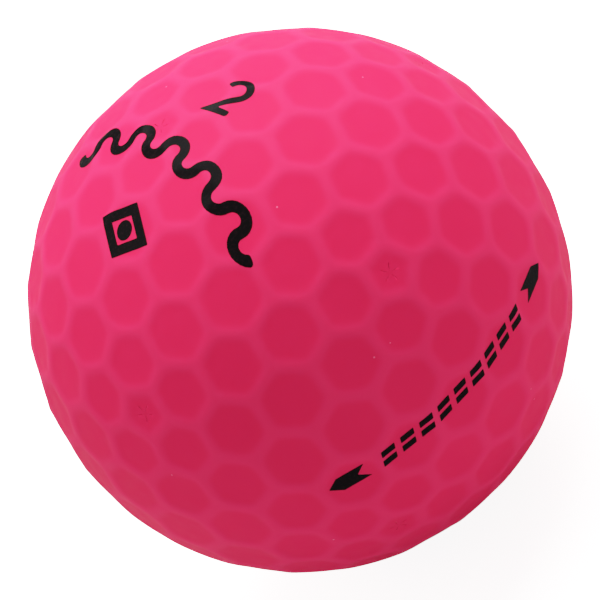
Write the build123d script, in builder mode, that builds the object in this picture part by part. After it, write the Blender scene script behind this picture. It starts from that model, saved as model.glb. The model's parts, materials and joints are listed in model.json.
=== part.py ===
from build123d import *
from itertools import combinations
from math import acos, atan2, cos, degrees, pi, radians, sin, sqrt, tan
import os

# A two-piece golf ball: a solid rubber core inside one moulded cover, with pad-printed ink on the cover.
# The origin is the ball's centre, +Z goes through the pole of the mould that carries the play number,
# the mould's parting plane is XY, and the front side print faces -Y.

# ---- driving dimensions, in millimetres and degrees ----
ball_diameter = 42.67           # over the ridges between dimples, the least the rules of golf allow
cover_thickness = 2.0           # from the core out to the ridges
ink_thickness = 0.03            # dry film of pad-printing ink

pattern_steps = 5               # dimple rows along each edge of the icosahedron that lays the pattern out
dimple_dish = 0.15              # how far a dimple's floor lies under the plane of its own rim
dimple_overlap = 1.05           # rim radius over half the mean spacing, so that neighbours meet in a ridge
pattern_turn = -83.7            # turn of the pattern about +Z, which sets where the prints fall on dimples

print_offset = 3.1              # the pole print's centre line, from the pole towards the side print
number_height = 4.0
number_width = 2.6
number_stroke = 0.62
number_turn = 10                # turn of the number on the cover, anticlockwise
number_start = 165              # where the bowl of the figure starts, anticlockwise from its right
number_gap = 2.93               # between the top of the wavy line and the foot of the number
wave_radius = 18.0              # radius of the arched wavy line
wave_place = -1.2               # top of the wavy line's arch, from the pole along the print's own up direction
wave_span = 70                  # angle of the arch that the wavy line covers
wave_bends = 11                 # half circles in the wavy line, turned up and down by turns
wave_stroke = 0.85
emblem_gap = 3.38               # between the underside of the arch's top and the emblem
emblem_width = 5.6
emblem_height = 4.4
emblem_stroke = 0.8
emblem_dot = 0.75               # radius of the dot inside the emblem

side_latitude = -4.2            # the side print runs along this latitude, on the first row under the seam
dash_count = 9
dash_width = 1.3
dash_height = 0.55
dash_gap = 0.3                  # between the upper and the lower dash of a pair
dash_space = 0.58               # between one pair and the next
dash_slant = 18                 # lean of the dashes' ends
arrow_gap = 1.4                 # between the last dash and an arrow
arrow_length = 3.5
arrow_height = 1.45
arrow_head = 1.0                # length of the pointed end
arrow_notch = 0.9               # depth of the notch in the tail

ball_radius = ball_diameter / 2
core_radius = ball_radius - cover_thickness
print_depth = 0.7 * ball_radius         # where the prints' planes lie, well under the cover
wedge_foot = 0.8 * ball_radius          # the wedge that trims a dimple starts here, under its floor,
wedge_top = 1.2 * ball_radius           # and ends here, over its ridges
same_place = cos(radians(2))            # two directions nearer than this are the same point of the pattern

# ---- the dimple pattern: every icosahedron face is divided into steps, and its points pushed out ----
ring_height = 1 / sqrt(5)
ring_radius = 2 / sqrt(5)
north_ring = [
    Vector(ring_radius * cos(2 * pi * k / 5), ring_radius * sin(2 * pi * k / 5), ring_height) for k in range(5)
]
corners = [Vector(0, 0, 1)] + north_ring
corners += [corner * -1 for corner in corners]


def joined(a, b):
    """Whether two corners of the icosahedron share an edge."""
    return a is not b and a.dot(b) > 0


def pattern_point(a, b, c, i, j):
    """The direction i steps towards a and j steps towards b from c on one face."""
    return (a * i + b * j + c * (pattern_steps - i - j)).normalized()


triangles = [t for t in combinations(corners, 3) if all(joined(p, q) for p, q in combinations(t, 2))]
centres = []
for a, b, c in triangles:
    for i in range(pattern_steps + 1):
        for j in range(pattern_steps + 1 - i):
            point = pattern_point(a, b, c, i, j)
            if all(point.dot(known) < same_place for known in centres):
                centres.append(point)


def neighbours(centre):
    """The dimples around one dimple, five at an icosahedron corner and six elsewhere, in order."""
    count = 5 if any(centre.dot(corner) > same_place for corner in corners) else 6
    ring = sorted(centres, key=lambda other: -other.dot(centre))[1:count + 1]
    around = Plane(origin=(0, 0, 0), z_dir=centre)
    return sorted(ring, key=lambda other: atan2(other.dot(around.y_dir), other.dot(around.x_dir)))


def cutter(centre):
    """Radius of the sphere that cuts a dimple, and the distance of its middle from the ball's middle."""
    spacings = [acos(centre.dot(other)) for other in neighbours(centre)]
    rim_angle = dimple_overlap * sum(spacings) / len(spacings) / 2
    rim_radius = ball_radius * sin(rim_angle)
    floor = ball_radius * cos(rim_angle) - dimple_dish
    sphere_radius = (rim_radius ** 2 + dimple_dish ** 2) / (2 * dimple_dish)
    return sphere_radius, floor + sphere_radius


def dimple_face(centre):
    """One dimple's surface, trimmed where it meets its neighbours' surfaces."""
    ring = neighbours(centre)
    sphere_radius, reach = cutter(centre)
    walls = []
    for other in ring:
        other_radius, other_reach = cutter(other)
        normal = other * other_reach - centre * reach
        walls.append((normal, (other_reach ** 2 - reach ** 2 + sphere_radius ** 2 - other_radius ** 2) / 2))
    rims = []
    for height in (wedge_foot, wedge_top):
        rim = []
        for (n, n_offset), (m, m_offset) in zip(walls, walls[1:] + walls[:1]):
            across = n.cross(m)
            corner = m.cross(centre) * n_offset + centre.cross(n) * m_offset + across * height
            rim.append(corner / centre.dot(across))
        rims.append(rim)
    inner, outer = rims
    sides = []
    for k in range(len(ring)):
        after = (k + 1) % len(ring)
        sides.append(Face(Wire.make_polygon([inner[k], inner[after], outer[after], outer[k]])))
    ends = [Face(Wire.make_polygon(rim)) for rim in rims]
    wedge = Solid(Shell(sides + ends))
    sideways = centre.cross(ring[0])
    ball = Solid.make_sphere(sphere_radius, Plane(origin=centre * reach, x_dir=centre, z_dir=sideways))
    return (wedge - ball).faces().filter_by(GeomType.SPHERE).sort_by(SortBy.AREA)[-1]


# ---- the five different dimples, repeated by the turns that carry the icosahedron onto itself ----
turns = []
for top in corners:
    for side in corners:
        if joined(top, side):
            turns.append(Plane(origin=(0, 0, 0), x_dir=side - top * top.dot(side), z_dir=top))

first_face = (corners[0], corners[1], corners[2])
corner_dimple = dimple_face(corners[0])
other_dimples = [dimple_face(pattern_point(*first_face, i, j)) for i, j in ((4, 1), (3, 2), (3, 1), (1, 2))]
dimples = [plane.location * corner_dimple for plane in turns[::5]]
dimples += [plane.location * face for plane in turns for face in other_dimples]

dimpled_body = Solid(Shell(dimples)).rotate(Axis.Z, pattern_turn)
with BuildPart() as outer_body:
    Sphere(ball_radius)
    add(dimpled_body, mode=Mode.INTERSECT)

# ---- core: a solid ball of moulded rubber ----
with BuildPart() as core:
    Sphere(core_radius)

# ---- cover: one moulded skin, full of the core ----
with BuildPart() as cover:
    add(outer_body.part)
    Sphere(core_radius, mode=Mode.SUBTRACT)

cover.part.label = "cover"
core.part.label = "core"

# ---- ink skin: the thin layer on the cover that every print is cut from ----
with BuildPart() as ink_skin:
    add(outer_body.part)
    scale(by=1 + ink_thickness / ball_radius)
    add(outer_body.part, mode=Mode.SUBTRACT)

# ---- outlines of the prints, each drawn flat about its own middle, x to the right and y up ----
bowl_radius = (number_width - number_stroke) / 2
bowl_middle = Vector(0, number_height / 2 - number_stroke / 2 - bowl_radius)
foot = Vector(-bowl_radius, (number_stroke - number_height) / 2)
foot_reach = (foot - bowl_middle).length
bowl_end = degrees(atan2(foot.Y - bowl_middle.Y, foot.X) + acos(bowl_radius / foot_reach))
with BuildSketch() as number_shape:
    with BuildLine():
        bowl = CenterArc(bowl_middle, bowl_radius, number_start, bowl_end - number_start)
        Polyline(bowl @ 1, foot, (bowl_radius, foot.Y))
    trace(line_width=number_stroke)

half_wave = wave_radius * radians(wave_span) / wave_bends
with BuildSketch() as wave_shape:
    with BuildLine():
        for bend in range(wave_bends):
            start, middle, end = (90 + wave_span * (0.5 - (bend + part) / wave_bends) for part in (0, 0.5, 1))
            crest = wave_radius + (half_wave / 2 if bend % 2 else -half_wave / 2)
            ThreePointArc(
                (wave_radius * cos(radians(start)), wave_radius * sin(radians(start)) - wave_radius),
                (crest * cos(radians(middle)), crest * sin(radians(middle)) - wave_radius),
                (wave_radius * cos(radians(end)), wave_radius * sin(radians(end)) - wave_radius),
            )
    trace(line_width=wave_stroke)

with BuildSketch() as emblem_shape:
    Polygon((emblem_width / 2, 0), (0, emblem_height / 2), (-emblem_width / 2, 0), (0, -emblem_height / 2))
    offset(amount=-emblem_stroke, kind=Kind.INTERSECTION, mode=Mode.SUBTRACT)
    Circle(emblem_dot)

dash_lean = dash_height * tan(radians(dash_slant)) / 2
dash_middle = (dash_height + dash_gap) / 2
with BuildSketch() as dash_shape:
    for side in (1, -1):
        shift = side * dash_middle * tan(radians(dash_slant))
        with Locations((shift, side * dash_middle)):
            Polygon(
                (-dash_width / 2 - dash_lean, -dash_height / 2),
                (dash_width / 2 - dash_lean, -dash_height / 2),
                (dash_width / 2 + dash_lean, dash_height / 2),
                (-dash_width / 2 + dash_lean, dash_height / 2),
                align=None,
            )

with BuildSketch() as arrow_shape:
    Polygon(
        (arrow_length / 2, 0),
        (arrow_length / 2 - arrow_head, arrow_height / 2),
        (-arrow_length / 2, arrow_height / 2),
        (arrow_notch - arrow_length / 2, 0),
        (-arrow_length / 2, -arrow_height / 2),
        (arrow_length / 2 - arrow_head, -arrow_height / 2),
        align=None,
    )


# ---- where the prints go: half of them on one side, and the same turned half round +X on the other ----
def pole_plane(place, turn=0):
    """The plane of a pole print, under the cover, with its own up direction turned anticlockwise from +X."""
    right = Vector(sin(radians(turn)), -cos(radians(turn)), 0)
    return Plane(origin=(place, -print_offset, print_depth), x_dir=right, z_dir=(0, 0, 1))


def side_plane(angle, flipped=False):
    """The plane of a side print, under the cover, at an angle along the row and with its right to the east."""
    around = radians(angle - 90)
    up = radians(side_latitude)
    out = Vector(cos(around) * cos(up), sin(around) * cos(up), sin(up))
    east = Vector(-sin(around), cos(around), 0)
    return Plane(origin=out * print_depth, x_dir=east * (-1 if flipped else 1), z_dir=out)


def far_side(plane):
    """The same plane turned half round +X."""
    origin, x_dir, z_dir = (Vector(v.X, -v.Y, -v.Z) for v in (plane.origin, plane.x_dir, plane.z_dir))
    return Plane(origin=origin, x_dir=x_dir, z_dir=z_dir)


wave_reach = half_wave / 2 + wave_stroke / 2
number_place = wave_place + wave_reach + number_gap + number_height / 2
emblem_place = wave_place - wave_reach - emblem_gap - emblem_height / 2
dash_pitch = degrees((dash_width + dash_space) / ball_radius)
dash_angles = [(k - (dash_count - 1) / 2) * dash_pitch for k in range(dash_count)]
arrow_place = dash_angles[-1] + degrees((dash_width / 2 + arrow_gap + arrow_length / 2) / ball_radius)
near_prints = {
    "number_north": (number_shape, [pole_plane(number_place, number_turn)]),
    "wave_north": (wave_shape, [pole_plane(wave_place)]),
    "emblem_north": (emblem_shape, [pole_plane(emblem_place)]),
    "dashes_front": (dash_shape, [side_plane(angle) for angle in dash_angles]),
    "arrow_front_left": (arrow_shape, [side_plane(-arrow_place, flipped=True)]),
    "arrow_front_right": (arrow_shape, [side_plane(arrow_place)]),
}
far_names = {"north": "south", "front": "back"}
prints = dict(near_prints)
for name, (shape, planes) in near_prints.items():
    for near, far in far_names.items():
        if near in name:
            prints[name.replace(near, far)] = (shape, [far_side(plane) for plane in planes])

# ---- prints: each outline is pushed out to the ink skin and keeps only what lies in it ----
films = []
for name, (shape, planes) in prints.items():
    with BuildPart() as film:
        with BuildSketch(*planes):
            add(shape.sketch)
        extrude(amount=ball_diameter)
        add(ink_skin.part, mode=Mode.INTERSECT)
    film.part.label = name
    films.append(film.part)

# ---- write one file for each piece ----
os.makedirs("parts", exist_ok=True)
export_step(core.part, "parts/core.step")
export_step(cover.part, "parts/cover.step")
for film in films:
    export_step(film, f"parts/{film.label}.step")
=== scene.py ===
"""A matte pink golf ball with hexagonal dimples and black pad printing, dressed around its CAD frame."""

import json
import logging
import math
from dataclasses import dataclass, field
from enum import Enum
from typing import Sequence

import bmesh
import bpy
import numpy as np
from mathutils import Matrix, Vector

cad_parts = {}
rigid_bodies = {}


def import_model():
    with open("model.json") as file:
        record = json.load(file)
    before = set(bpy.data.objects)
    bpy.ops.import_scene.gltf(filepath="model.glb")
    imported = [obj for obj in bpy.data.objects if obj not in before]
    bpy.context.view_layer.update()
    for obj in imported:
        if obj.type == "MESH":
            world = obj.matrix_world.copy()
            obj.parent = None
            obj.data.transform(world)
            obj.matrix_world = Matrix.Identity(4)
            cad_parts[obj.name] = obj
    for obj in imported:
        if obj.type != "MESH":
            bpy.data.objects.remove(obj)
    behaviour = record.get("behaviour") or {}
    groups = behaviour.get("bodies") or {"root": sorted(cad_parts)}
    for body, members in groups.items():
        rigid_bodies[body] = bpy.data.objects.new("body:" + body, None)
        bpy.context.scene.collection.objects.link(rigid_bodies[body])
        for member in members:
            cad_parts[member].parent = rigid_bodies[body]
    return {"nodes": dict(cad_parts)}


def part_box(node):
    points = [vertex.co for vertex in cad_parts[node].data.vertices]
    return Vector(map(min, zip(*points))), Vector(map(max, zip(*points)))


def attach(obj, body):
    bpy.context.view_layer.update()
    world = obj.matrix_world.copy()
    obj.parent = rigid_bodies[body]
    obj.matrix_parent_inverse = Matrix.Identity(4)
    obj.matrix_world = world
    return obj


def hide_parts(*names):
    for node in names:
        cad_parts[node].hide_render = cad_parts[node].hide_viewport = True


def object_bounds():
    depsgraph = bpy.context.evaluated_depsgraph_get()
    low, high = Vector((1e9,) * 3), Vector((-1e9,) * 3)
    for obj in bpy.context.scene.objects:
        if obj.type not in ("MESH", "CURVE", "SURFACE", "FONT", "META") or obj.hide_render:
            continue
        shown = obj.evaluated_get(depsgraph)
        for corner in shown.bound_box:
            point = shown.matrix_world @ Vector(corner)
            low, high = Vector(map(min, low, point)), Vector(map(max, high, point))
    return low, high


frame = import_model()
CAD_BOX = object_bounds()

LOG = logging.getLogger("golf_ball")
MM = 0.001
# Most of a noise texture's values lie between these two.
NOISE_LOW, NOISE_HIGH = 0.3, 0.7
BODY = "root"


# ---------------------------------------------------------------- tools for meshes


def deselect_all() -> None:
    """Leaves nothing selected, so that the next operator acts on its own piece only."""
    for other in bpy.context.scene.objects:
        other.select_set(False)


def make_active(piece: bpy.types.Object) -> None:
    """Selects one piece alone and makes it active.

    Args:
        piece: the object that the next operators act on.
    """
    deselect_all()
    piece.select_set(True)
    bpy.context.view_layer.objects.active = piece


def edit(piece: bpy.types.Object, select: str = "VERT") -> None:
    """Enters edit mode on one piece with everything in it selected.

    Args:
        piece: the mesh to edit.
        select: VERT, EDGE or FACE, the kind of element that operators select.
    """
    make_active(piece)
    bpy.ops.object.mode_set(mode="EDIT")
    bpy.ops.mesh.select_mode(type=select)
    bpy.ops.mesh.select_all(action="SELECT")


def leave_edit() -> None:
    """Returns to object mode, which writes the edited mesh back."""
    bpy.ops.object.mode_set(mode="OBJECT")


def apply_modifier(piece: bpy.types.Object, kind: str, **settings: object) -> None:
    """Adds a modifier, sets it and applies it.

    Args:
        piece: the mesh that is changed.
        kind: the modifier's type, such as SUBSURF.
        settings: the modifier's own properties.
    """
    make_active(piece)
    modifier = piece.modifiers.new(kind.title(), kind)
    for name, value in settings.items():
        setattr(modifier, name, value)
    bpy.ops.object.modifier_apply(modifier=modifier.name)


def copy_of(piece: bpy.types.Object, name: str) -> bpy.types.Object:
    """Copies a piece, mesh included.

    Args:
        piece: the mesh object to copy.
        name: the copy's name.

    Returns:
        The copy, linked to the scene.
    """
    copy = piece.copy()
    copy.data = piece.data.copy()
    copy.name = name
    bpy.context.scene.collection.objects.link(copy)
    return copy


def mesh_from(
    name: str, points: Sequence[Vector], edges: Sequence[tuple], faces: Sequence[tuple]
) -> bpy.types.Object:
    """Makes a mesh object from its points.

    Args:
        name: the object's name.
        points: places of the vertices, in metres.
        edges: pairs of vertex numbers, for a shape that has no faces yet.
        faces: rings of vertex numbers.

    Returns:
        The new object, linked to the scene.
    """
    mesh = bpy.data.meshes.new(name)
    mesh.from_pydata([tuple(point) for point in points], edges, faces)
    piece = bpy.data.objects.new(name, mesh)
    bpy.context.scene.collection.objects.link(piece)
    return piece


# ---------------------------------------------------------------- tools for materials


def linear(code: str) -> tuple[float, float, float, float]:
    """Turns an sRGB hex value into the linear colour that shaders use.

    Args:
        code: six hex digits, such as "D8365F".

    Returns:
        Red, green, blue and an alpha of 1.
    """
    channels = [int(code[i:i + 2], 16) / 255 for i in (0, 2, 4)]
    return (*[c / 12.92 if c <= 0.04045 else ((c + 0.055) / 1.055) ** 2.4 for c in channels], 1.0)


def add_node(
    tree: bpy.types.NodeTree, kind: str, links: dict | None = None, **settings: object
) -> bpy.types.Node:
    """Adds one shader node.

    Args:
        tree: the material's or world's node tree.
        kind: the node's type, such as ShaderNodeTexNoise.
        links: input name to the socket that feeds it, or to the value it holds.
        settings: the node's own properties.

    Returns:
        The node.
    """
    node = tree.nodes.new(kind)
    for name, value in settings.items():
        setattr(node, name, value)
    for name, value in (links or {}).items():
        if isinstance(value, bpy.types.NodeSocket):
            tree.links.new(value, node.inputs[name])
        else:
            node.inputs[name].default_value = value
    return node


def new_tree(name: str) -> tuple[bpy.types.Material, bpy.types.NodeTree, bpy.types.NodeSocket]:
    """Starts a node material.

    Args:
        name: the material's name.

    Returns:
        The material, its empty node tree and the object coordinates.
    """
    material = bpy.data.materials.new(name)
    material.use_nodes = True
    tree = material.node_tree
    tree.nodes.clear()
    place = add_node(tree, "ShaderNodeTexCoord").outputs["Object"]
    return material, tree, place


def per_metre(size_mm: float) -> float:
    """The texture scale whose pattern repeats about every size_mm millimetres."""
    return 1 / (size_mm * MM)


@dataclass(frozen=True)
class MattePaintedIonomer:
    """Ionomer moulded in one colour and sprayed with a matte clear coat.

    The pigment is fluorescent, so the pink stays strong in the shade. A paler pink is painted on the tops of
    the ridges: a painted highlight for the light they catch, which leaves the dimple floors darker as painted
    shade. The coat has a sparse scatter of pale specks. The index of refraction is fitted to how little the
    matte coat shines, and is lower than a real lacquer's.
    """

    pigment: str = "E92352"
    deep_pigment: str = "E21F4C"
    # A paler pink painted on the tops of the ridges, between two distances from the centre: a painted
    # highlight, with the dimple floors left darker as painted shade.
    ridge_highlight: str = "F73B70"
    ridge_highlight_share: float = 0.28
    ridge_highlight_from_mm: float = 21.235
    ridge_highlight_to_mm: float = 21.335
    fleck: str = "F3668F"
    grain_mm: float = 0.16
    grain_depth_mm: float = 0.015
    ripple_mm: float = 1.3
    ripple_depth_mm: float = 0.03
    relief: float = 0.3
    cloud_mm: float = 9.0
    fleck_mm: float = 1.7
    fleck_size: float = 0.045
    fleck_share: float = 0.16
    smoothest: float = 0.62
    roughest: float = 0.72
    index: float = 1.1
    glow_depth_mm: float = 0.6
    glow_share: float = 0.25
    glow_reach: tuple[float, float, float] = (1.0, 0.25, 0.35)

    def coat_colour_and_ridge_highlight(self, tree: bpy.types.NodeTree, place: bpy.types.NodeSocket) -> bpy.types.NodeSocket:
        """The cloudy pink, with a painted highlight: paler where the surface is furthest from the ball's
        centre, on the tops of the ridges.

        Args:
            tree: the material's tree.
            place: the object coordinates.

        Returns:
            The colour without the specks.
        """
        cloud = add_node(
            tree, "ShaderNodeTexNoise", {"Vector": place, "Scale": per_metre(self.cloud_mm), "Detail": 3.0},
        )
        tones = {"Factor": cloud.outputs["Fac"], 6: linear(self.pigment), 7: linear(self.deep_pigment)}
        tone = add_node(tree, "ShaderNodeMix", tones, data_type="RGBA")
        height = add_node(tree, "ShaderNodeVectorMath", {0: place}, operation="LENGTH")
        # Painted highlight: mixes towards the paler pink on the tops of the ridges, so the dimple floors stay
        # darker as painted shade.
        ridge_highlight_mask = add_node(
            tree, "ShaderNodeMapRange",
            {
                "Value": height.outputs["Value"],
                "From Min": self.ridge_highlight_from_mm * MM, "From Max": self.ridge_highlight_to_mm * MM,
                "To Min": 0.0, "To Max": self.ridge_highlight_share,
            },
            interpolation_type="SMOOTHSTEP",
        )
        tones = {"Factor": ridge_highlight_mask.outputs[0], 6: tone.outputs[2], 7: linear(self.ridge_highlight)}
        return add_node(tree, "ShaderNodeMix", tones, data_type="RGBA").outputs[2]

    def specks(self, tree: bpy.types.NodeTree, place: bpy.types.NodeSocket) -> bpy.types.NodeSocket:
        """Marks the middles of a few cells of a cell texture.

        Args:
            tree: the material's tree.
            place: the object coordinates.

        Returns:
            1 on a speck and 0 elsewhere.
        """
        cells = add_node(
            tree, "ShaderNodeTexVoronoi",
            {"Vector": place, "Scale": per_metre(self.fleck_mm), "Randomness": 1.0},
        )
        near = add_node(
            tree, "ShaderNodeMath", {0: cells.outputs["Distance"], 1: self.fleck_size}, operation="LESS_THAN",
        )
        chance = add_node(tree, "ShaderNodeSeparateColor", {"Color": cells.outputs["Color"]})
        limit = {0: chance.outputs["Red"], 1: 1 - self.fleck_share}
        rare = add_node(tree, "ShaderNodeMath", limit, operation="GREATER_THAN")
        both = {0: near.outputs[0], 1: rare.outputs[0]}
        return add_node(tree, "ShaderNodeMath", both, operation="MULTIPLY").outputs[0]

    def build(self) -> bpy.types.Material:
        """Makes the cover's material."""
        material, tree, place = new_tree("matte_painted_ionomer")
        tones = {"Factor": self.specks(tree, place), 6: self.coat_colour_and_ridge_highlight(tree, place), 7: linear(self.fleck)}
        colour = add_node(tree, "ShaderNodeMix", tones, data_type="RGBA")
        grain = add_node(
            tree, "ShaderNodeTexNoise", {"Vector": place, "Scale": per_metre(self.grain_mm), "Detail": 2.0},
        )
        ripple = add_node(
            tree, "ShaderNodeTexNoise", {"Vector": place, "Scale": per_metre(self.ripple_mm), "Detail": 1.0},
        )
        fine = add_node(
            tree, "ShaderNodeBump",
            {"Height": grain.outputs["Fac"], "Strength": self.relief, "Distance": self.grain_depth_mm * MM},
        )
        wavy = add_node(
            tree, "ShaderNodeBump",
            {
                "Height": ripple.outputs["Fac"], "Strength": self.relief,
                "Distance": self.ripple_depth_mm * MM, "Normal": fine.outputs[0],
            },
        )
        gloss = add_node(
            tree, "ShaderNodeMapRange",
            {
                "Value": ripple.outputs["Fac"], "From Min": NOISE_LOW, "From Max": NOISE_HIGH,
                "To Min": self.smoothest, "To Max": self.roughest,
            },
        )
        shader = add_node(
            tree, "ShaderNodeBsdfPrincipled",
            {
                "Base Color": colour.outputs[2], "Roughness": gloss.outputs[0], "Normal": wavy.outputs[0],
                "IOR": self.index, "Subsurface Weight": self.glow_share,
                "Subsurface Radius": self.glow_reach, "Subsurface Scale": self.glow_depth_mm * MM,
            },
        )
        add_node(tree, "ShaderNodeOutputMaterial", {"Surface": shader.outputs[0]})
        return material


@dataclass(frozen=True)
class PadPrintInk:
    """Black two-part pad-printing ink: a thin, even film with a satin surface and fine mottling.

    Its shine is fitted to how black the prints stay under the soft boxes.
    """

    black: str = "0B090A"
    thin: str = "190E12"
    thin_from: float = 0.5
    thin_to: float = 0.75
    grain_mm: float = 0.22
    grain_depth_mm: float = 0.01
    relief: float = 0.3
    smoothest: float = 0.16
    roughest: float = 0.3
    index: float = 1.45
    shine: float = 0.012

    def build(self) -> bpy.types.Material:
        """Makes the prints' material."""
        material, tree, place = new_tree("pad_print_ink")
        mottle = add_node(
            tree, "ShaderNodeTexNoise", {"Vector": place, "Scale": per_metre(self.grain_mm), "Detail": 3.0},
        )
        thinness = add_node(
            tree, "ShaderNodeMapRange",
            {
                "Value": mottle.outputs["Fac"], "From Min": self.thin_from, "From Max": self.thin_to,
                "To Min": 0.0, "To Max": 1.0,
            },
        )
        tones = {"Factor": thinness.outputs[0], 6: linear(self.black), 7: linear(self.thin)}
        colour = add_node(tree, "ShaderNodeMix", tones, data_type="RGBA")
        gloss = add_node(
            tree, "ShaderNodeMapRange",
            {
                "Value": mottle.outputs["Fac"], "From Min": NOISE_LOW, "From Max": NOISE_HIGH,
                "To Min": self.smoothest, "To Max": self.roughest,
            },
        )
        skin = add_node(
            tree, "ShaderNodeBump",
            {"Height": mottle.outputs["Fac"], "Strength": self.relief, "Distance": self.grain_depth_mm * MM},
        )
        shader = add_node(
            tree, "ShaderNodeBsdfPrincipled",
            {
                "Base Color": colour.outputs[2], "Roughness": gloss.outputs[0], "Normal": skin.outputs[0],
                "IOR": self.index, "Specular IOR Level": self.shine,
            },
        )
        add_node(tree, "ShaderNodeOutputMaterial", {"Surface": shader.outputs[0]})
        return material


@dataclass(frozen=True)
class MouldedRubber:
    """Compression-moulded polybutadiene rubber: dull, waxy and a little mottled."""

    tint: str = "6FB7BE"
    dark: str = "5FA6AF"
    mottle_mm: float = 2.5
    mottle_depth_mm: float = 0.05
    relief: float = 0.2
    roughness: float = 0.7
    index: float = 1.52

    def build(self) -> bpy.types.Material:
        """Makes the core's material."""
        material, tree, place = new_tree("moulded_rubber")
        mottle = add_node(
            tree, "ShaderNodeTexNoise", {"Vector": place, "Scale": per_metre(self.mottle_mm), "Detail": 4.0},
        )
        tones = {"Factor": mottle.outputs["Fac"], 6: linear(self.tint), 7: linear(self.dark)}
        colour = add_node(tree, "ShaderNodeMix", tones, data_type="RGBA")
        skin = add_node(
            tree, "ShaderNodeBump",
            {"Height": mottle.outputs["Fac"], "Strength": self.relief, "Distance": self.mottle_depth_mm * MM},
        )
        shader = add_node(
            tree, "ShaderNodeBsdfPrincipled",
            {
                "Base Color": colour.outputs[2], "Roughness": self.roughness, "Normal": skin.outputs[0],
                "IOR": self.index,
            },
        )
        add_node(tree, "ShaderNodeOutputMaterial", {"Surface": shader.outputs[0]})
        return material


@dataclass(frozen=True)
class OpalAcrylic:
    """The lit top of a product table: opal acrylic sheet, evenly white, which takes only faint shadows.

    The glow is for the lens alone, and a light grey lights the ball from below, as a table top beyond the
    frame would.
    """

    white: str = "F6F6F6"
    grey: str = "CECECE"
    glow: float = 2.2
    ripple_mm: float = 30.0
    ripple_depth_mm: float = 0.1
    relief: float = 0.05
    roughness: float = 0.9
    shine: float = 0.1

    def build(self) -> bpy.types.Material:
        """Makes the floor's material."""
        material, tree, place = new_tree("opal_acrylic")
        seen = add_node(tree, "ShaderNodeLightPath").outputs["Is Camera Ray"]
        tones = {"Factor": seen, 6: linear(self.grey), 7: linear(self.white)}
        tone = add_node(tree, "ShaderNodeMix", tones, data_type="RGBA")
        glow = add_node(tree, "ShaderNodeMath", {0: seen, 1: self.glow}, operation="MULTIPLY")
        ripple = add_node(tree, "ShaderNodeTexNoise", {"Vector": place, "Scale": per_metre(self.ripple_mm)})
        skin = add_node(
            tree, "ShaderNodeBump",
            {"Height": ripple.outputs["Fac"], "Strength": self.relief, "Distance": self.ripple_depth_mm * MM},
        )
        shader = add_node(
            tree, "ShaderNodeBsdfPrincipled",
            {
                "Base Color": tone.outputs[2], "Roughness": self.roughness, "Normal": skin.outputs[0],
                "Specular IOR Level": self.shine,
                "Emission Color": linear(self.white), "Emission Strength": glow.outputs[0],
            },
        )
        add_node(tree, "ShaderNodeOutputMaterial", {"Surface": shader.outputs[0]})
        return material


# ---------------------------------------------------------------- the cover


@dataclass(frozen=True)
class Step:
    """One step of a dimple's wall, from the ridges inwards.

    It says how far in the step goes, how deep its ring lies under the ball's sphere, and how round it is.
    """

    inward: float
    depth: float
    roundness: float


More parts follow.
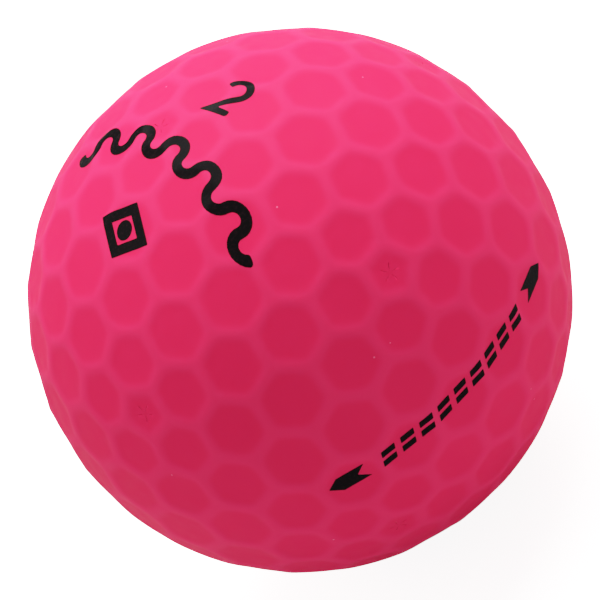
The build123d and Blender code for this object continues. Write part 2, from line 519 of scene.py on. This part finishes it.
@dataclass
class Cover:
    """The moulded cover: 252 dimples with rounded ridges on the ball's sphere, and a hollow for the core."""

    radius: float
    core_radius: float
    pattern_cuts: int = 4
    pattern_turn: float = math.radians(-83.7)
    ridge_cuts: int = 2
    wall: tuple[Step, ...] = (
        Step(0.28 * MM, 0.012 * MM, 0.0),
        Step(0.38 * MM, 0.076 * MM, 0.15),
        Step(0.50 * MM, 0.122 * MM, 0.4),
        Step(0.55 * MM, 0.136 * MM, 0.8),
    )
    smooth_levels: int = 1
    finish: MattePaintedIonomer = field(default_factory=MattePaintedIonomer)

    def lay_out_cells(self) -> bpy.types.Object:
        """Divides an icosahedron into its dimple centres, then turns that net inside out into cells.

        Returns:
            A closed mesh of 252 flat cells, five-sided at the icosahedron's corners and six-sided elsewhere.
        """
        deselect_all()
        bpy.ops.mesh.primitive_ico_sphere_add(subdivisions=1, radius=self.radius)
        net = bpy.context.object
        edit(net)
        bpy.ops.mesh.subdivide(number_cuts=self.pattern_cuts, smoothness=0)
        bpy.ops.transform.tosphere(value=1)
        leave_edit()
        centres = len(net.data.vertices)
        edit(net)
        bpy.ops.mesh.poke()
        bpy.ops.transform.tosphere(value=1)
        self.select_old(net, centres, "EDGE")
        bpy.ops.mesh.dissolve_edges(use_verts=False)
        bpy.ops.mesh.select_all(action="SELECT")
        bpy.ops.mesh.quads_convert_to_tris(quad_method="SHORTEST_DIAGONAL")
        self.select_old(net, centres, "VERT")
        bpy.ops.mesh.dissolve_verts()
        bpy.ops.mesh.select_mode(type="EDGE")
        bpy.ops.mesh.select_all(action="SELECT")
        bpy.ops.mesh.subdivide(number_cuts=self.ridge_cuts)
        leave_edit()
        for vertex in net.data.vertices:
            vertex.co = vertex.co.normalized() * self.radius
        return net

    @staticmethod
    def select_old(net: bpy.types.Object, count: int, kind: str) -> None:
        """Selects only what joins the first vertices of a mesh that is being edited.

        Args:
            net: the mesh in edit mode.
            count: how many of its first vertices are the dimple centres.
            kind: EDGE for the edges between centres, VERT for the centres themselves.
        """
        bpy.ops.mesh.select_all(action="DESELECT")
        bpy.ops.mesh.select_mode(type=kind)
        shape = bmesh.from_edit_mesh(net.data)
        shape.verts.ensure_lookup_table()
        if kind == "EDGE":
            for edge in shape.edges:
                edge.select_set(all(vertex.index < count for vertex in edge.verts))
        else:
            for vertex in shape.verts:
                vertex.select_set(vertex.index < count)
        shape.select_flush_mode()
        bmesh.update_edit_mesh(net.data)

    def press_dimples(self, net: bpy.types.Object) -> None:
        """Insets every cell step by step into a bowl, and rounds the ridges.

        Args:
            net: the mesh of flat cells, changed in place.
        """
        edit(net, "FACE")
        for step in self.wall:
            bpy.ops.mesh.inset(thickness=step.inward, depth=0, use_individual=True, use_even_offset=True)
            self.shape_rings(net, step)
        leave_edit()
        apply_modifier(net, "SUBSURF", levels=self.smooth_levels, render_levels=self.smooth_levels)
        reach = max(vertex.co.length for vertex in net.data.vertices)
        edit(net)
        bpy.ops.transform.resize(value=(self.radius / reach,) * 3)
        leave_edit()

    def shape_rings(self, net: bpy.types.Object, step: Step) -> None:
        """Sinks and rounds the ring round every floor that the last inset left selected.

        Args:
            net: the mesh in edit mode.
            step: how deep and how round the rings become.
        """
        shape = bmesh.from_edit_mesh(net.data)
        for floor in shape.faces:
            if not floor.select:
                continue
            ring = list(floor.verts)
            axis = sum((vertex.co for vertex in ring), Vector()).normalized()
            spokes = [vertex.co - axis * vertex.co.dot(axis) for vertex in ring]
            reach = sum(spoke.length for spoke in spokes) / len(ring)
            for vertex, spoke in zip(ring, spokes):
                place = vertex.co + spoke * step.roundness * (reach / spoke.length - 1)
                vertex.co = place.normalized() * (self.radius - step.depth)
        bmesh.update_edit_mesh(net.data)

    def hollow_out(self, net: bpy.types.Object) -> None:
        """Adds the inner wall that holds the core.

        Args:
            net: the outer skin, which the inner wall is joined to.
        """
        deselect_all()
        bpy.ops.mesh.primitive_ico_sphere_add(subdivisions=5, radius=self.core_radius)
        wall = bpy.context.object
        edit(wall, "FACE")
        bpy.ops.mesh.flip_normals()
        leave_edit()
        make_active(net)
        wall.select_set(True)
        bpy.ops.object.join()

    def build(self) -> tuple[bpy.types.Object, bpy.types.Object]:
        """Makes the cover.

        Returns:
            The cover, and its outer skin alone, which the prints are pressed onto.
        """
        net = self.lay_out_cells()
        self.press_dimples(net)
        make_active(net)
        net.rotation_euler = (0, 0, self.pattern_turn)
        bpy.ops.object.transform_apply(location=False, rotation=True, scale=False)
        skin = copy_of(net, "outer_skin")
        self.hollow_out(net)
        make_active(net)
        bpy.ops.object.shade_smooth()
        net.name = "cover_moulding"
        net.data.name = net.name
        net.data.materials.clear()
        net.data.materials.append(self.finish.build())
        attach(net, BODY)
        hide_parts("cover")
        return net, skin


# ---------------------------------------------------------------- the prints


# A side pad starts at PAD_START of the ball's radius from the centre. Every pad's blocks are as deep as its
# distance from the centre, and longer by PAD_PUSH / PAD_START of that, so that they come out of the cover.
PAD_START = 0.7
PAD_PUSH = 0.4
POLE_PRINT_OFFSET = -3.1 * MM
SIDE_ROW_LATITUDE = math.radians(-4.2)
SHARP_UPRIGHT = math.radians(35)
SHADE_ANGLE = math.radians(40)


class Side(Enum):
    """Which half of the ball a print is on; the far half repeats the near one turned half round +X."""

    NEAR = 1
    FAR = -1


@dataclass(frozen=True)
class PrintPlane:
    """The flat pad that carries one print: its middle, and its own right, up and outward directions."""

    middle: Vector
    right: Vector
    out: Vector

    def on(self, side: Side) -> "PrintPlane":
        """The same pad on one half of the ball."""
        turn = Matrix.Diagonal((1, side.value, side.value))
        return PrintPlane(turn @ self.middle, turn @ self.right, turn @ self.out)

    def matrix(self) -> Matrix:
        """The pad's place, as a matrix from flat print coordinates to the ball's."""
        up = self.out.cross(self.right)
        turn = Matrix((self.right, up, self.out)).transposed().to_4x4()
        return Matrix.Translation(self.middle) @ turn


def pole_plane(place: float, radius: float, turn: float = 0) -> PrintPlane:
    """The pad of a print near the pole.

    Args:
        place: middle of the print along +X.
        radius: the ball's radius.
        turn: turn of the print's own up direction from +X, anticlockwise.

    Returns:
        The pad, starting well under the cover.
    """
    right = Vector((math.sin(turn), -math.cos(turn), 0))
    return PrintPlane(Vector((place, POLE_PRINT_OFFSET, PAD_START * radius)), right, Vector((0, 0, 1)))


def side_plane(angle: float, radius: float, flipped: bool = False) -> PrintPlane:
    """The pad of a print on the row of dimples under the seam.

    Args:
        angle: place along the row, in degrees from -Y.
        radius: the ball's radius.
        flipped: whether the print's right hand side is to the west.

    Returns:
        The pad, starting well under the cover.
    """
    around, up = math.radians(angle - 90), SIDE_ROW_LATITUDE
    out = Vector((math.cos(around) * math.cos(up), math.sin(around) * math.cos(up), math.sin(up)))
    east = Vector((-math.sin(around), math.cos(around), 0))
    return PrintPlane(out * PAD_START * radius, -east if flipped else east, out)


@dataclass
class PadPrint:
    """One printed mark: flat outlines pushed out through the cover's skin, which keep the film on it.

    Its reach is the angle at the ball's centre, in radians, round which the skin under the mark is copied.
    """

    name: str
    replaces: str
    planes: Sequence[PrintPlane]
    reach: float = 0.4
    film: float = 0.022 * MM
    rounding: float = 0.07 * MM
    rounding_steps: int = 3

    def outlines(self) -> list[list[Vector]]:
        """The closed outlines of the mark on its pad; a kind of mark says what they are."""
        raise NotImplementedError

    def prism(self, plane: PrintPlane, depth: float) -> bpy.types.Object:
        """Pushes the outlines of one pad out into solid blocks.

        Args:
            plane: where the pad is.
            depth: how far the blocks reach.

        Returns:
            One closed mesh.
        """
        points, faces = [], []
        for outline in self.outlines():
            faces.append(tuple(range(len(points), len(points) + len(outline))))
            points += outline
        block = mesh_from(self.name + "_block", points, [], faces)
        self.push_out(block, depth)
        block.data.transform(plane.matrix())
        return block

    def push_out(self, block: bpy.types.Object, depth: float) -> None:
        """Extrudes flat faces along the pad's outward direction and rounds the upright edges.

        Args:
            block: the flat mesh, changed in place.
            depth: how far the faces move.
        """
        edit(block, "FACE")
        bpy.ops.mesh.extrude_region_move(TRANSFORM_OT_translate={"value": (0, 0, depth)})
        bpy.ops.mesh.select_all(action="SELECT")
        bpy.ops.mesh.normals_make_consistent(inside=False)
        self.round_uprights(block)
        leave_edit()

    def round_uprights(self, block: bpy.types.Object) -> None:
        """Rounds the corners of the outlines, as wet ink does.

        Args:
            block: the blocks, in edit mode.
        """
        bpy.ops.mesh.select_all(action="DESELECT")
        bpy.ops.mesh.select_mode(type="EDGE")
        shape = bmesh.from_edit_mesh(block.data)
        for edge in shape.edges:
            run = edge.verts[1].co - edge.verts[0].co
            sharp = len(edge.link_faces) == 2 and edge.calc_face_angle(0) > SHARP_UPRIGHT
            edge.select_set(abs(run.normalized().z) > 0.9 and sharp)
        shape.select_flush_mode()
        bmesh.update_edit_mesh(block.data)
        bpy.ops.mesh.bevel(offset=self.rounding, segments=self.rounding_steps, affect="EDGES")

    def patch(self, skin: bpy.types.Object) -> bpy.types.Object:
        """Copies the part of the skin under the mark and gives it the film's thickness.

        Args:
            skin: the cover's outer skin.

        Returns:
            A thin closed sheet that lies on the cover.
        """
        patch = copy_of(skin, self.name + "_film")
        towards = sum((plane.out for plane in self.planes), Vector()).normalized()
        if len(self.planes) == 1:
            towards = self.planes[0].matrix().translation.normalized()
        centres = np.zeros(len(patch.data.polygons) * 3)
        patch.data.polygons.foreach_get("center", centres)
        centres = centres.reshape(-1, 3)
        centres /= np.linalg.norm(centres, axis=1)[:, None]
        bpy.context.tool_settings.mesh_select_mode = (False, False, True)
        patch.data.polygons.foreach_set("select", centres @ np.array(towards) < math.cos(self.reach))
        make_active(patch)
        bpy.ops.object.mode_set(mode="EDIT")
        bpy.ops.mesh.delete(type="FACE")
        leave_edit()
        apply_modifier(patch, "SOLIDIFY", thickness=self.film, offset=1, use_even_offset=True)
        return patch

    def build(self, skin: bpy.types.Object, ink: bpy.types.Material) -> bpy.types.Object:
        """Prints the mark.

        Args:
            skin: the cover's outer skin.
            ink: the ink's material.

        Returns:
            The film of ink.
        """
        film = self.patch(skin)
        depths = [PAD_PUSH * plane.middle.length / PAD_START + plane.middle.length for plane in self.planes]
        blocks = [self.prism(plane, depth) for plane, depth in zip(self.planes, depths)]
        make_active(blocks[0])
        for block in blocks[1:]:
            block.select_set(True)
        if len(blocks) > 1:
            bpy.ops.object.join()
        apply_modifier(film, "BOOLEAN", operation="INTERSECT", solver="MANIFOLD", object=blocks[0])
        bpy.data.objects.remove(blocks[0])
        make_active(film)
        bpy.ops.object.shade_smooth_by_angle(angle=SHADE_ANGLE)
        film.name = self.name
        film.data.name = self.name
        film.data.materials.clear()
        film.data.materials.append(ink)
        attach(film, BODY)
        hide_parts(self.replaces)
        LOG.info("%s: %d faces", self.name, len(film.data.polygons))
        return film


@dataclass
class StrokePrint(PadPrint):
    """A mark drawn as one line of even width."""

    stroke: float = 0.62 * MM

    def path(self) -> list[Vector]:
        """The middle line of the stroke."""
        raise NotImplementedError

    def prism(self, plane: PrintPlane, depth: float) -> bpy.types.Object:
        """Pushes the line out into a ribbon and thickens that to the stroke's width.

        Args:
            plane: where the pad is.
            depth: how far the block reaches.

        Returns:
            One closed mesh.
        """
        points = self.path()
        block = mesh_from(self.name + "_block", points, [(k, k + 1) for k in range(len(points) - 1)], [])
        edit(block, "EDGE")
        bpy.ops.mesh.extrude_region_move(TRANSFORM_OT_translate={"value": (0, 0, depth)})
        leave_edit()
        apply_modifier(block, "SOLIDIFY", thickness=self.stroke, offset=0, use_even_offset=True)
        edit(block)
        bpy.ops.mesh.normals_make_consistent(inside=False)
        self.round_uprights(block)
        leave_edit()
        block.data.transform(plane.matrix())
        return block


@dataclass
class PlayNumber(StrokePrint):
    """The figure 2: a round bowl, a straight back stroke and a flat foot."""

    reach: float = 0.35
    width: float = 2.6 * MM
    height: float = 4.0 * MM
    bowl_start: float = 165
    bowl_steps: int = 28
    rounding: float = 0.2 * MM

    def path(self) -> list[Vector]:
        """The middle line of the figure."""
        bowl = (self.width - self.stroke) / 2
        middle = Vector((0, self.height / 2 - self.stroke / 2 - bowl, 0))
        foot = Vector((-bowl, (self.stroke - self.height) / 2, 0))
        lean = foot - middle
        end = math.degrees(math.atan2(lean.y, lean.x) + math.acos(bowl / lean.length))
        points = []
        for k in range(self.bowl_steps + 1):
            angle = math.radians(self.bowl_start + (end - self.bowl_start) * k / self.bowl_steps)
            points.append(middle + Vector((math.cos(angle), math.sin(angle), 0)) * bowl)
        return points + [foot, Vector((bowl, foot.y, 0))]


@dataclass
class ArchedWave(StrokePrint):
    """A wavy line along an arch: half circles turned up and down by turns."""

    reach: float = 0.75
    stroke: float = 0.85 * MM
    arch_radius: float = 18.0 * MM
    span: float = 70
    bends: int = 11
    bend_steps: int = 12
    rounding: float = 0.3 * MM

    def path(self) -> list[Vector]:
        """The middle line of the wave."""
        half = self.arch_radius * math.radians(self.span) / self.bends / 2
        points = []
        for bend in range(self.bends):
            sign = 1 if bend % 2 else -1
            start = 90 + self.span * (0.5 - bend / self.bends)
            middle = math.radians(start - self.span / self.bends / 2)
            outward = Vector((math.cos(middle), math.sin(middle), 0))
            along = Vector((math.sin(middle), -math.cos(middle), 0))
            centre = outward * self.arch_radius - Vector((0, self.arch_radius, 0))
            for k in range(self.bend_steps + (bend == self.bends - 1)):
                turn = math.pi * k / self.bend_steps
                points.append(centre - along * half * math.cos(turn) + outward * sign * half * math.sin(turn))
        return points


@dataclass
class Emblem(PadPrint):
    """A plain diamond ring round a dot."""

    width: float = 5.6 * MM
    height: float = 4.4 * MM
    stroke: float = 0.8 * MM
    dot: float = 0.75 * MM
    dot_sides: int = 40

    def diamond(self, inset: float) -> list[Vector]:
        """One of the ring's two outlines.

        Args:
            inset: how far it lies inside the outer one, measured square to its sides.

        Returns:
            Its four corners.
        """
        slope = math.hypot(self.width, self.height)
        wide = self.width / 2 - inset * slope / self.height
        high = self.height / 2 - inset * slope / self.width
        return [Vector((wide, 0, 0)), Vector((0, high, 0)), Vector((-wide, 0, 0)), Vector((0, -high, 0))]

    def outlines(self) -> list[list[Vector]]:
        """Four bars that make the ring, and the dot."""
        outer, inner = self.diamond(0), self.diamond(self.stroke)
        turns = [2 * math.pi * k / self.dot_sides for k in range(self.dot_sides)]
        return [outer, inner, [Vector((math.cos(t), math.sin(t), 0)) * self.dot for t in turns]]

    def prism(self, plane: PrintPlane, depth: float) -> bpy.types.Object:
        """Builds the ring from its two outlines, and adds the dot.

        Args:
            plane: where the pad is.
            depth: how far the block reaches.

        Returns:
            One closed mesh.
        """
        outer, inner, dot = self.outlines()
        faces = [(k, (k + 1) % 4, 4 + (k + 1) % 4, 4 + k) for k in range(4)]
        faces.append(tuple(range(8, 8 + len(dot))))
        block = mesh_from(self.name + "_block", outer + inner + dot, [], faces)
        self.push_out(block, depth)
        block.data.transform(plane.matrix())
        return block


@dataclass
class DashRow(PadPrint):
    """A row of slanted double dashes."""

    reach: float = 0.52
    width: float = 1.3 * MM
    height: float = 0.55 * MM
    gap: float = 0.3 * MM
    slant: float = math.radians(18)

    def outlines(self) -> list[list[Vector]]:
        """The upper and the lower dash."""
        rings = []
        for middle in ((self.height + self.gap) / 2, -(self.height + self.gap) / 2):
            ring = []
            for x, y in ((-1, -1), (1, -1), (1, 1), (-1, 1)):
                high = middle + y * self.height / 2
                ring.append(Vector((x * self.width / 2 + high * math.tan(self.slant), high, 0)))
            rings.append(ring)
        return rings


@dataclass
class Arrow(PadPrint):
    """A short arrow with a pointed head and a notched tail."""

    reach: float = 0.2
    length: float = 3.5 * MM
    height: float = 1.45 * MM
    head: float = 1.0 * MM
    notch: float = 0.9 * MM

    def outlines(self) -> list[list[Vector]]:
        """The arrow, pointing to the right."""
        end, half = self.length / 2, self.height / 2
        corners = ((end, 0), (end - self.head, half), (-end, half), (self.notch - end, 0), (-end, -half))
        return [[Vector((x, y, 0)) for x, y in (*corners, (end - self.head, -half))]]


@dataclass
class PrintSet:
    """All the marks on one ball."""

    radius: float
    number_place: float = 5.15 * MM
    number_turn: float = math.radians(10)
    wave_place: float = -1.2 * MM
    emblem_place: float = -8.2 * MM
    dash_count: int = 9
    dash_pitch: float = 5.05
    arrow_place: float = 30.4
    finish: PadPrintInk = field(default_factory=PadPrintInk)

    def marks(self, side: Side) -> list[PadPrint]:
        """The marks on one half of the ball.

        Args:
            side: the near half or the far half.

        Returns:
            The marks, not yet printed.
        """
        pole, seam = ("north", "front") if side is Side.NEAR else ("south", "back")
        radius = self.radius
        angles = [(k - (self.dash_count - 1) / 2) * self.dash_pitch for k in range(self.dash_count)]
        dashes = [side_plane(angle, radius).on(side) for angle in angles]
        left, right = (side_plane(sign * self.arrow_place, radius, sign < 0).on(side) for sign in (-1, 1))
        number = pole_plane(self.number_place, radius, self.number_turn).on(side)
        wave = pole_plane(self.wave_place, radius).on(side)
        emblem = pole_plane(self.emblem_place, radius).on(side)
        return [
            PlayNumber(f"play_number_{pole}", f"number_{pole}", [number]),
            ArchedWave(f"arched_wave_{pole}", f"wave_{pole}", [wave]),
            Emblem(f"diamond_emblem_{pole}", f"emblem_{pole}", [emblem]),
            DashRow(f"seam_dashes_{seam}", f"dashes_{seam}", dashes),
            Arrow(f"seam_arrow_{seam}_left", f"arrow_{seam}_left", [left]),
            Arrow(f"seam_arrow_{seam}_right", f"arrow_{seam}_right", [right]),
        ]

    def build(self, skin: bpy.types.Object) -> None:
        """Prints every mark on both halves.

        Args:
            skin: the cover's outer skin.
        """
        ink = self.finish.build()
        for side in Side:
            for mark in self.marks(side):
                mark.build(skin, ink)


# ---------------------------------------------------------------- the studio


@dataclass(frozen=True)
class SoftBox:
    """One square soft box that faces the ball.

    Its direction is right, up and towards the camera, as seen through the camera.
    """

    name: str
    direction: tuple[float, float, float]
    distance: float
    size: float
    power: float


@dataclass
class Studio:
    """Where the ball is shown: a lit white table, soft boxes above and behind it, and a long lens."""

    radius: float
    azimuth: float = math.radians(-14.45)
    elevation: float = math.radians(35.82)
    roll: float = math.radians(38.9)
    distance: float = 1.2
    frame_fill: float = 0.91
    sensor: float = 36.0
    floor_size: float = 3.0
    room_light: float = 0.5
    backdrop: float = 4.0
    white_level: float = 3.0
    response_steps: int = 10
    boxes: tuple[SoftBox, ...] = (
        SoftBox("overhead_box", (-0.28, 0.88, 0.12), 0.45, 0.5, 7.3),
        SoftBox("left_box", (-0.95, 0.15, 0.1), 0.7, 0.5, 2.0),
    )

    def axes(self) -> Matrix:
        """The camera's right, up and backward directions, as the columns of a matrix."""
        back = Vector((
            math.sin(self.azimuth) * math.cos(self.elevation),
            -math.cos(self.azimuth) * math.cos(self.elevation),
            math.sin(self.elevation),
        ))
        level = Vector((math.cos(self.azimuth), math.sin(self.azimuth), 0))
        upright = back.cross(level)
        right = level * math.cos(self.roll) - upright * math.sin(self.roll)
        up = level * math.sin(self.roll) + upright * math.cos(self.roll)
        return Matrix((right, up, back)).transposed()

    def set_camera(self) -> None:
        """Places the camera so that the ball fills its share of the frame."""
        data = bpy.data.cameras.new("long_lens")
        data.sensor_width = self.sensor
        half_angle = math.asin(self.radius / self.distance)
        data.lens = self.frame_fill * self.sensor / 2 / math.tan(half_angle)
        camera = bpy.data.objects.new("camera", data)
        bpy.context.scene.collection.objects.link(camera)
        axes = self.axes()
        camera.matrix_world = Matrix.Translation(axes.col[2] * self.distance) @ axes.to_4x4()
        bpy.context.scene.camera = camera

    def set_light(self, box: SoftBox) -> None:
        """Adds one soft box.

        Args:
            box: where it stands, its size and its power.
        """
        data = bpy.data.lights.new(box.name, "AREA")
        data.shape = "SQUARE"
        data.size = box.size
        data.energy = box.power
        light = bpy.data.objects.new(box.name, data)
        bpy.context.scene.collection.objects.link(light)
        place = (self.axes() @ Vector(box.direction)).normalized() * box.distance
        light.location = place
        light.rotation_mode = "QUATERNION"
        light.rotation_quaternion = (-place).to_track_quat("-Z", "Y")

    def set_floor(self) -> None:
        """Lays the white table top under the ball."""
        deselect_all()
        bpy.ops.mesh.primitive_plane_add(size=self.floor_size, location=(0, 0, CAD_BOX[0].z))
        floor = bpy.context.object
        floor.name = "table_top"
        floor.data.materials.append(OpalAcrylic().build())

    def set_room(self) -> None:
        """Fills the room with weak even light, in front of a bright white backdrop."""
        world = bpy.data.worlds.new("white_room")
        world.use_nodes = True
        tree = world.node_tree
        tree.nodes.clear()
        white = linear("FFFFFF")
        room = add_node(tree, "ShaderNodeBackground", {"Color": white, "Strength": self.room_light})
        backdrop = add_node(tree, "ShaderNodeBackground", {"Color": white, "Strength": self.backdrop})
        path = add_node(tree, "ShaderNodeLightPath")
        seen = add_node(
            tree, "ShaderNodeMixShader",
            {"Fac": path.outputs["Is Camera Ray"], 1: room.outputs[0], 2: backdrop.outputs[0]},
        )
        add_node(tree, "ShaderNodeOutputWorld", {"Surface": seen.outputs[0]})
        bpy.context.scene.world = world

    def set_response(self) -> None:
        """Gives the picture the soft shoulder of film, so that bright pink keeps its colour."""
        view = bpy.context.scene.view_settings
        view.view_transform = "Standard"
        view.use_curve_mapping = True
        mapping = view.curve_mapping
        mapping.white_level = (self.white_level,) * 3
        for k in range(1, self.response_steps):
            share = (k / self.response_steps) ** 2
            density = 1 - math.exp(-share * self.white_level)
            mapping.curves[3].points.new(share, density / (1 - math.exp(-self.white_level)))
        mapping.update()

    def build(self) -> None:
        """Sets up the floor, the lights and the camera."""
        self.set_floor()
        self.set_room()
        self.set_response()
        for box in self.boxes:
            self.set_light(box)
        self.set_camera()


def main() -> None:
    """Builds the ball and its studio, and reports each piece."""
    logging.basicConfig(level=logging.INFO, format="%(name)s: %(message)s")
    radius = max(vertex.co.length for vertex in frame["nodes"]["cover"].data.vertices)
    low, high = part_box("core")
    cover, skin = Cover(radius=radius, core_radius=(high.x - low.x) / 2).build()
    LOG.info("%s: %d faces", cover.name, len(cover.data.polygons))
    core = frame["nodes"]["core"]
    core.data.materials.clear()
    core.data.materials.append(MouldedRubber().build())
    PrintSet(radius=radius).build(skin)
    bpy.data.objects.remove(skin)
    Studio(radius=radius).build()


if __name__ == "__main__":
    main()
